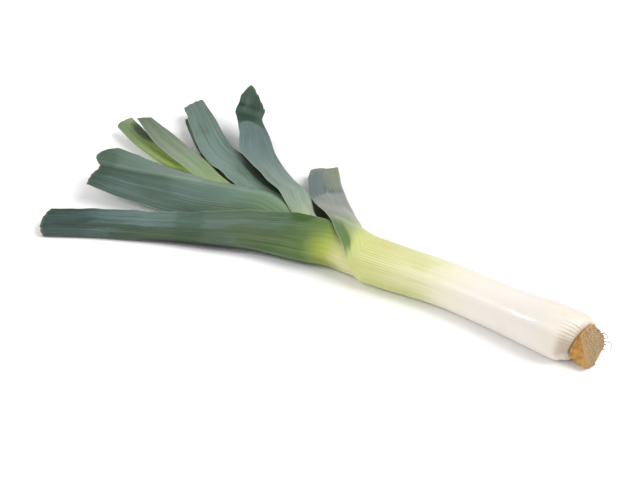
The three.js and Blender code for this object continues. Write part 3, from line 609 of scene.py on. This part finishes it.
common = {"base": BORE_FLOOR_X - 0.3, "swell": 0.3, "wavy": 0.3, "ragged": 0.5, "pleated": 0.035}
inner_leaves = [
    {
        **common, "name": "leaf_2_front", "slot": "blue_green_blade", "seed": 21, "side": -1,
        "radius": sheath_radius(1), "mouth": -116,
        "keel": [
            (-130, -19.5, 8.5), (-147, -26, 9), (-187, -35, 8), (-224, -49, 6), (-261, -63.5, 4),
            (-297, -81, 3), (-336, -103.5, 2.5),
        ],
        "roll": [-37.5, -22, -22, -21, -18, -13], "fold": [0, 43, 59, 65, 69, 77],
        "upper": [48, 36, 29, 24.5, 24.5, 25.7], "lower": [24, 26, 26, 24, 24, 24],
        "reach_upper": [(0, 0), (0.35, 2.5), (0.7, 1), (1, -3)],
        "narrowing": (74, 30), "uncurling": 98,
        "margin_colours": [
            (-40, (214, 210, 158)), (-8, (203, 201, 143)), (4, (134, 150, 66)), (18, (92, 115, 54)),
            (44, (70, 92, 55)), (75, (74, 96, 71)), (110, (74, 96, 81)), (160, (88, 108, 103)),
            (205, (48, 70, 65)), (235, (37, 59, 53)),
        ],
        "keel_colours": [
            (-40, (212, 208, 156)), (0, (204, 201, 142)), (14, (162, 172, 68)), (32, (84, 110, 50)),
            (60, (70, 93, 43)), (100, (52, 69, 36)), (155, (52, 70, 52)), (235, (32, 49, 40)),
        ],
        "swell": 0.2, "wavy": 0.25, "flame": 16, "bloom": 0.26,
        "patches": [
            (40, 0.95, 10, 0.18, 0.75, (44, 78, 22)), (88, 0.5, 26, 0.8, 0.3, (78, 92, 66)),
            (112, 0.15, 24, 0.35, 0.4, (44, 66, 36)), (124, 0.6, 12, 0.8, 0.4, (44, 68, 44)),
            # The last patch is painted shade: a near-black strip on the underside below the keel, where
            # the leaf lies in deep shade over the table.
            (226, 0.4, 26, 0.9, 0.5, (36, 54, 48)), (112, -0.13, 104, 0.19, 0.95, (8, 14, 9)),
        ],
    },
    {
        **common, "name": "leaf_3_back", "slot": "grey_green_blade", "seed": 31, "side": 1,
        "radius": sheath_radius(2), "mouth": -140,
        "keel": [
            (-155, 8.6, 25.6), (-180.5, 33.5, 23), (-202, 46, 20), (-219, 57.5, 18),
            (-238.5, 72, 17), (-255, 88, 17.5), (-275, 104.5, 19.5), (-278.5, 108, 21),
            (-279.5, 112.5, 27),
        ],
        "roll": [37, 24, 12, 7.5, 9, 9, 19], "fold": [0, 43, 51, 54, 56, 51, 44],
        "upper": [25, 24.5, 27, 29.5, 32, 28.5, 22.5], "lower": [22, 26, 26, 24, 22, 20, 16],
        "reach_upper": [(0, 0), (0.5, 14), (0.7, 17), (1, 7)],
        "narrowing": (25, 20), "uncurling": 80,
        "margin_colours": [
            (0, (170, 184, 130)), (30, (142, 158, 136)), (70, (124, 140, 130)), (110, (104, 122, 118)),
            (145, (84, 102, 102)), (170, (84, 104, 92)),
        ],
        "keel_colours": [
            (0, (170, 184, 130)), (30, (140, 156, 134)), (70, (118, 134, 126)), (110, (98, 116, 112)),
            (145, (80, 98, 96)), (170, (80, 100, 88)),
        ],
        # Painted shade: the turned-up tip is darkened as if it faced away from the lamp.
        "painted_tip_shade": (0.845, 0.865, 0.9, (52, 72, 60)),
        "lined": 0.5, "swell": 0.2,
        "patches": [
            (171, 0.75, 6, 0.5, 0.6, (28, 46, 42)), (184, 0.68, 7, 0.1, 0.2, (96, 124, 104)),
            (186, 0.35, 9, 0.16, 0.5, (34, 52, 46)),
        ],
    },
    {
        **common, "name": "leaf_4_front", "slot": "blue_green_blade", "seed": 41, "side": -1,
        "radius": sheath_radius(3), "mouth": -145,
        "keel": [
            (-160, -8.5, 29), (-176, -1.5, 29.7), (-200, 3, 31), (-217, 0, 30.5),
            (-247, -7, 29.5), (-271.5, -11.5, 28), (-305.5, -19.5, 26), (-339, -26, 24),
        ],
        "roll": [68, 90, 84, 76, 76, 75], "fold": [0, 5, 25, 35, 17, -15],
        "upper": [10, 8, 20, 25.5, 22, 20], "lower": [26, 27, 28, 29.5, 25.5, 24],
        "reach_upper": [(0, 3), (0.3, 9), (0.6, 7.5), (0.85, 2), (1, -4)],
        "reach_lower": [(0, 3), (0.15, 1.5), (0.5, 3), (1, 2)],
        "narrowing": (20, 20), "uncurling": 85,
        "margin_colours": [
            (0, (168, 186, 126)), (30, (120, 144, 108)), (70, (124, 146, 124)), (120, (130, 148, 134)),
            (170, (98, 118, 105)), (205, (80, 100, 84)),
        ],
        "keel_colours": [
            (0, (160, 180, 120)), (30, (104, 130, 98)), (70, (92, 116, 88)), (120, (88, 112, 98)),
            (170, (64, 84, 74)), (205, (46, 66, 54)),
        ],
        "one_sided": True, "strip": (-0.04, 0.1),
        "patches": [
            (38, 0.66, 5, 0.07, 0.8, (52, 34, 22)), (96, 0.3, 16, 0.7, 0.15, (52, 76, 50)),
            (150, -0.3, 16, 0.4, 0.3, (48, 70, 50)), (200, 0.1, 12, 0.8, 0.4, (46, 70, 52)),
        ],
    },
    {
        **common, "name": "leaf_5_back", "slot": "grey_green_blade", "seed": 51, "side": 1,
        "radius": sheath_radius(4), "mouth": -160,
        "keel": [
            (-172, 5.5, 23.3), (-185, 16.5, 22.5), (-223.5, 35.5, 21), (-253.5, 52.5, 19.5),
            (-272, 59.5, 18), (-295, 75.5, 17), (-316.5, 92, 16), (-342.5, 110.5, 15),
        ],
        "roll": [37.5, 28.5, 19, 16.5, 17.5, 28], "fold": [0, 51, 74, 76, 75, 69],
        "upper": [15, 18, 25.5, 26.5, 24.5, 19.5], "lower": [20, 22, 25.5, 27, 27, 26.5],
        "narrowing": (20, 20), "uncurling": 60,
        "margin_colours": [
            (0, (170, 186, 120)), (25, (120, 144, 108)), (60, (114, 136, 120)), (110, (121, 142, 134)),
            (190, (104, 126, 116)),
        ],
        "keel_colours": [
            (0, (170, 186, 120)), (25, (112, 136, 102)), (60, (100, 122, 106)), (110, (112, 132, 124)),
            (190, (100, 122, 112)),
        ],
        # Painted shade: the inner face, seen below the upper half's margin, is darkened as if in that
        # half's shade.
        "inside": 0.65, "inside_colour_and_shade": (62, 84, 66),
        # Painted shadow: the patch darkens this leaf near its base where leaf_3_back shades it.
        "patches": [(70, 0.06, 46, 0.33, 0.9, (30, 44, 34))],
    },
    {
        **common, "name": "leaf_6_front", "slot": "yellow_green_blade", "seed": 61, "side": -1,
        "radius": sheath_radius(5), "mouth": -170,
        "keel": [
            (-185, -13.6, 10.4), (-200, -10.7, 9.4), (-220, -3, 9.5), (-240, 6.5, 9),
            (-290, 20.5, 10), (-305.5, 18, 10.5), (-351, 29.5, 10), (-383, 43, 10),
        ],
        "roll": [-37.5, -20, 0, 9, 11, 6], "fold": [0, 40, 60, 69, 71, 66],
        "upper": [6, 6.6, 9, 11, 15.5, 15.5], "lower": [8, 7.5, 6.5, 8, 9, 9],
        "narrowing": (15, 15), "uncurling": 60, "swell": 0.15,
        "margin_colours": [
            (0, (190, 200, 130)), (60, (190, 212, 84)), (120, (184, 208, 92)), (175, (170, 196, 108)),
            (205, (118, 140, 92)), (225, (136, 152, 116)),
        ],
        "keel_colours": [
            (0, (190, 200, 130)), (60, (180, 204, 78)), (120, (170, 196, 84)), (175, (148, 172, 92)),
            (225, (116, 136, 96)),
        ],
        "inside": 0.75, "inside_colour_and_shade": (172, 198, 90), "bloom": 0.1,
        # Painted shadow: the patch darkens this leaf near its tip where leaf_7_back overhangs it.
        "patches": [(199, 0.8, 20, 0.28, 0.75, (44, 62, 42))],
    },
    {
        **common, "name": "leaf_7_back", "slot": "grey_green_blade", "seed": 71, "side": 1,
        "radius": sheath_radius(6.1), "floor": -140, "mouth": -180,
        "keel": [
            (-200, 2, 16.5), (-235.5, 18.5, 13.5), (-258.5, 25.5, 14.5), (-286, 36, 16),
            (-318.5, 46, 18), (-355.5, 57.5, 19),
        ],
        "roll": [37.5, 29.5, 24, 22.5, 20.5, 14], "fold": [0, 44, 59, 60, 60, 49],
        "upper": [11.5, 14, 17, 21, 22, 18], "lower": [8, 10, 10.5, 12, 13, 14],
        "narrowing": (20, 20), "uncurling": 50,
        "margin_colours": [
            (0, (190, 202, 134)), (50, (162, 182, 112)), (90, (136, 156, 104)), (125, (132, 147, 118)),
            (190, (96, 108, 86)),
        ],
        "keel_colours": [
            (0, (190, 202, 134)), (50, (158, 178, 108)), (90, (132, 152, 102)), (125, (126, 141, 114)),
            (190, (90, 103, 82)),
        ],
    },
]
for leaf in inner_leaves:
    grow(leaf, columns=36, sheath_step=4, blade_rows=130, material=blade_material(leaf))

# ---- The root plate ----
# The stem of the plant is only this short stub below the leaves. The knife has squared it off and
# cut its roots to stumps, of which a few fine ones are left whole and curl away.
PLATE_R = 17.5
PLATE_SEAT = 1
PLATE_CENTRE = np.array([-1.5, 16])  # y and z of the middle of its cut face
CUT_FACE_X, CUT_FACE_SLOPE = 81, (0.15, -0.25)
# The knife's cuts, each as its direction in degrees and its distance from the middle.
KNIFE_CUTS = [(180, 11.3), (-108, 15.6), (-62, 12.6), (-8, 13.6), (35, 11.8), (95, 14.8)]
# The cut ends of the strands on its face: how far apart, how much closer the rows are, how high.
DOT_PITCH, DOT_ROWS, DOT_HEIGHT = 1.25, 0.87, 0.3


def trimmed_radius(angle):
    radius = np.full_like(np.asarray(angle, float), PLATE_R)
    for direction, distance in KNIFE_CUTS:
        facing = np.cos(angle - math.radians(direction))
        radius = np.where(facing > 0.3, np.minimum(radius, distance / np.maximum(facing, 0.3)), radius)
    return radius


def face_point(angle, radius, rise=0):
    y = PLATE_CENTRE[0] + radius * np.cos(angle)
    z = PLATE_CENTRE[1] + radius * np.sin(angle)
    slope = CUT_FACE_SLOPE[0] * (y - PLATE_CENTRE[0]) + CUT_FACE_SLOPE[1] * (z - PLATE_CENTRE[1])
    return np.stack([CUT_FACE_X + slope + rise, y, z], -1)


def plate_rings(sides):
    """The stub's rings from its seat to the middle of its face, each with its share of face."""
    angle = np.linspace(0, 2 * math.pi, sides, endpoint=False)
    towards_roots = -axis_tangent(SHOULDER_X)
    sideways = unit(np.cross([0, 0, 1.0], towards_roots))
    upward = np.cross(towards_roots, sideways)
    seat = axis_point(SHOULDER_X) + towards_roots * PLATE_SEAT

    def seat_ring(radius):
        around = np.cos(angle)[:, None] * sideways + np.sin(angle)[:, None] * upward
        return slant_end(seat + radius * around)

    trimmed = trimmed_radius(angle)
    rim = face_point(angle, trimmed)
    flank = seat_ring(MID_R - 3) * 0.7 + rim * 0.3
    edge = face_point(angle, 0.99 * trimmed, -1)
    rings, on_face = [seat_ring(1), seat_ring((MID_R - 3.2) * 0.6)], [0, 0]
    for start, end, steps in ((seat_ring(MID_R - 3.2), flank, 6), (flank, edge, 10)):
        rings += [start + (end - start) * k / steps for k in range(steps)]
        on_face += [0] * steps
    for share, rise in ((0.99, -1), (0.988, -0.6), (0.982, -0.25), (0.97, 0)):
        rings.append(face_point(angle, share * trimmed, rise))
        on_face.append(0.3 if rise else 1)
    for share in np.linspace(0.95, 0.03, 44):
        rings.append(face_point(angle, share * trimmed, 0.6 * (1 - share) / 0.5 if share > 0.5 else 0.6))
        on_face.append(1)
    return np.array(rings), np.array(on_face)[:, None] * np.ones(sides)


def plate_dots(points):
    """How high the cut strands stand at each point of the face, from 0 to 1."""
    chance = np.random.default_rng(81)
    rows, height = int(2 * PLATE_R / (DOT_ROWS * DOT_PITCH)), np.zeros(points.shape[:-1])
    for i in range(rows):
        for j in range(int(2 * PLATE_R / DOT_PITCH)):
            jitter = chance.uniform(-0.28, 0.28, 2)
            size = chance.uniform(0.24, 0.4)
            y = PLATE_CENTRE[0] - PLATE_R + (j + 0.5 * (i % 2) + jitter[0]) * DOT_PITCH
            z = PLATE_CENTRE[1] - PLATE_R + (i + jitter[1]) * DOT_ROWS * DOT_PITCH
            gap = (points[..., 1] - y) ** 2 + (points[..., 2] - z) ** 2
            height = np.maximum(height, np.exp(-((gap / size**2) ** 1.5)) * chance.uniform(0.5, 1))
    return height


def tube_faces(sides, count):
    """The faces of a closed tube of count points in rings of sides, whose two end points come next."""
    quads = []
    for k in range(sides):
        n = (k + 1) % sides
        quads += [[i + k, i + n, i + sides + n, i + sides + k] for i in range(0, count - sides, sides)]
        quads.append([n, k, count])
        quads.append([count - sides + k, count - sides + n, count + 1])
    return quads


def root_tube(points, thick, thin, sides=10, rows=18):
    """A tapering round-ended root along points, as vertices and faces."""
    path = [smooth_curve(list(enumerate(np.array(points)[:, k]))) for k in range(3)]
    steps = np.linspace(0, len(points) - 1, rows)
    centres = np.stack([curve(steps) for curve in path], 1)
    directions = unit(np.gradient(centres, axis=0))
    sideways = unit(np.cross(directions[0], [0.3, 0.2, 1]))
    rings = []
    for centre, direction, share in zip(centres, directions, np.linspace(0, 1, rows)):
        sideways = unit(sideways - direction * np.dot(sideways, direction))
        across = np.cross(direction, sideways)
        radius = (thick + (thin - thick) * share) / 2 * (1 - 0.45 * max(0, share - 0.92) / 0.08)
        turn = np.linspace(0, 2 * math.pi, sides, endpoint=False)[:, None]
        rings.append(centre + radius * (np.cos(turn) * sideways + np.sin(turn) * across))
    vertices = np.vstack([*rings, centres[:1], centres[-1:] + directions[-1] * thin * 0.2])
    return vertices, tube_faces(sides, rows * sides)


def plate_mesh():
    """The stub with its dotted face and scarred flank, and the roots, as one mesh."""
    sides = 220
    rings, on_face = plate_rings(sides)
    dots = plate_dots(rings) * (on_face > 0.9)
    scars = Waves(82, along=2.2, across=0.35, terms=9)
    angle = np.linspace(0, 2 * math.pi, sides, endpoint=False)
    knife_marks = 0.15 * scars(rings[..., 1] * 3, rings[..., 2] / 6) * (on_face > 0.9)
    rings[..., 0] += DOT_HEIGHT * dots + knife_marks
    bulge = 0.14 * scars(rings[..., 0] * 2, angle * 2) * (on_face == 0)
    bulge[:2] = 0
    rings[..., 1] += bulge * np.cos(angle)
    rings[..., 2] = np.maximum(rings[..., 2] + bulge * np.sin(angle), 0)
    vertices = [rings.reshape(-1, 3), rings[:1].mean(1), rings[-1:].mean(1)]
    quads = tube_faces(sides, len(rings) * sides)
    paint = [np.stack([on_face, dots, 0 * dots], -1).reshape(-1, 3), [[0, 0, 0], [1, 0, 0]]]

    def rim(degrees, inset):
        turn = math.radians(degrees)
        return face_point(turn, float(trimmed_radius(turn)) - inset, -0.6)

    roots = []
    for i, degrees in enumerate([-40, -22, -4, 12, 27, 43, 58, 74, 90, 107, 123, 140, -120, -96, -72]):
        start, end = rim(degrees, 2.5), rim(degrees + 4 * math.sin(5 * i), -0.35 - 0.3 * math.sin(3 * i))
        end[0] += 1.2 + 0.5 * math.cos(7 * i)
        middle = (start + end) / 2 + [0.25, 0.2 * math.sin(i), 0.2 * math.cos(2 * i)]
        roots.append((0.35, root_tube([start, middle, end], thick=1.4, thin=0.9, sides=12, rows=10)))
    for degrees, steps in (
        (12, [(1, 1, 1.5), (3, 2, 1), (4.4, 2.5, -1), (4.2, 2.4, -4.5)]),
        (-16, [(2, 1, 0), (4, 2.5, -0.5), (6.5, 3.5, -3), (5.5, 3, -8)]),
        (52, [(1.2, 0.6, 0.6), (2.4, 1.2, 0.4), (3, 1.8, -0.8)]),
    ):
        start = rim(degrees, 2)
        roots.append((1, root_tube([start, *[start + step for step in steps]], thick=0.75, thin=0.32)))
    for age, (points, faces) in roots:
        offset = sum(len(v) for v in vertices)
        vertices.append(points)
        quads += [[v + offset for v in face] for face in faces]
        paint.append(np.tile([0, 0, age], (len(points), 1)))
    mesh = bpy.data.meshes.new("root_plate")
    mesh.from_pydata((np.vstack(vertices) / 1000).tolist(), [], quads)
    layer = mesh.attributes.new("plate_place", "FLOAT_VECTOR", "POINT")
    layer.data.foreach_set("vector", np.vstack(paint).astype(np.float32).ravel())
    mesh.shade_smooth()
    mesh.set_sharp_from_angle(angle=math.radians(40))
    return mesh


def plate_material():
    """Tan, strand-dotted cut face, ochre flank and pinkish root stumps with dark fine ends."""
    material, skin, start = new_material("root_plate_finish")
    on_face, dot, age = start.node("Attribute", {"attribute_name": "plate_place"}, {}, "Vector").split()
    place = start.node("TexCoord", {}, {}, "Object")
    mottle = place.noise(220, 4, 0.6)
    fine = place.noise(1400, 3, 0.7)
    side = place.split()[1]
    flank = mottle.ease(0.35, 0.65).mix(tint(150, 106, 46), tint(184, 138, 70))
    flank = (side.ease(-0.010, 0.004) * 0.6).mix(flank, tint(188, 146, 108))
    face = mottle.ease(0.3, 0.7).mix(tint(154, 128, 92), tint(180, 150, 110))
    face = dot.ease(0.15, 0.6).mix(face.lit(0.6), tint(196, 170, 130))
    face = (dot.ease(0.75, 0.95) * 0.6).mix(face, tint(150, 122, 84))
    face = (side.ease(-0.005, -0.014) * 0.5).mix(face, tint(172, 132, 74))
    colour = on_face.ease(0.2, 0.8).mix(flank, face)
    stump = fine.ease(0.3, 0.7).mix(tint(150, 108, 74), tint(190, 152, 118))
    colour = age.ease(0.1, 0.3).mix(colour, stump)
    colour = age.ease(0.5, 0.9).mix(colour, tint(112, 104, 82))
    colour = colour.lit(0.86 + fine * 0.28)
    return finish_material(material, skin, {
        "Base Color": colour, "Roughness": 0.55 + mottle * 0.25, "Specular IOR Level": 0.35,
    }, (mottle + fine, 0.0002))


plate = bpy.data.objects.new("root_plate_skin", plate_mesh())
bpy.context.scene.collection.objects.link(plate)
plate.data.materials.append(plate_material())
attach(plate, "root")
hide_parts("root_plate_with_roots")

# ---- The floor, the light and the camera ----
# A white table in even white light, with a large soft lamp at the root end, a weaker one in front
# and a small one that puts the glint on the wet sheath.
AIM = np.array([-0.1431, -0.0052, 0.017])  # what lamps and camera face, in metres
FLOOR_GAP = 0.0005  # the table is this far below the leek, so that no faces coincide


def place_facing(thing, azimuth, elevation, distance):
    """Puts a lamp or the camera so that it faces the leek; azimuth runs from -Y towards +X."""
    azimuth, elevation = math.radians(azimuth), math.radians(elevation)
    away = np.array([
        math.sin(azimuth) * math.cos(elevation),
        -math.cos(azimuth) * math.cos(elevation),
        math.sin(elevation),
    ])
    thing.location = AIM + away * distance
    thing.rotation_euler = (math.pi / 2 - elevation, 0, azimuth)
    bpy.context.scene.collection.objects.link(thing)


def studio_lamp(name, azimuth, elevation, distance, size, watts):
    """A soft rectangular lamp."""
    light = bpy.data.lights.new(name, "AREA")
    light.shape, (light.size, light.size_y), light.energy = "RECTANGLE", size, watts
    lamp = bpy.data.objects.new(name, light)
    place_facing(lamp, azimuth, elevation, distance)


studio_lamp("main_lamp", azimuth=108, elevation=48, distance=2.0, size=(1.5, 1.5), watts=40)
studio_lamp("front_lamp", azimuth=-5, elevation=44, distance=2.2, size=(1.4, 0.9), watts=11)
studio_lamp("glint_lamp", azimuth=-40, elevation=36, distance=1.6, size=(0.09, 0.26), watts=4.2)
floor_mesh = bpy.data.meshes.new("floor")
floor_mesh.from_pydata([(-6, -6, 0), (6, -6, 0), (6, 6, 0), (-6, 6, 0)], [], [(0, 1, 2, 3)])
floor = bpy.data.objects.new("floor", floor_mesh)
floor.location.z = -FLOOR_GAP
bpy.context.scene.collection.objects.link(floor)
floor_material, floor_skin, _ = new_material("white_table")
floor.data.materials.append(
    finish_material(floor_material, floor_skin, {"Base Color": (0.95, 0.95, 0.95, 1), "Roughness": 0.9})
)
world = bpy.data.worlds.new("studio")
world.use_nodes = True
world.node_tree.nodes["Background"].inputs["Color"].default_value = (1, 1, 1, 1)
world.node_tree.nodes["Background"].inputs["Strength"].default_value = 0.58
bpy.context.scene.world = world
bpy.context.scene.view_settings.view_transform = "Standard"
lens = bpy.data.cameras.new("camera")
lens.lens, lens.sensor_width = 85, 36
camera = bpy.data.objects.new("camera", lens)
place_facing(camera, azimuth=34.05, elevation=36, distance=1.1386)
bpy.context.scene.camera = camera
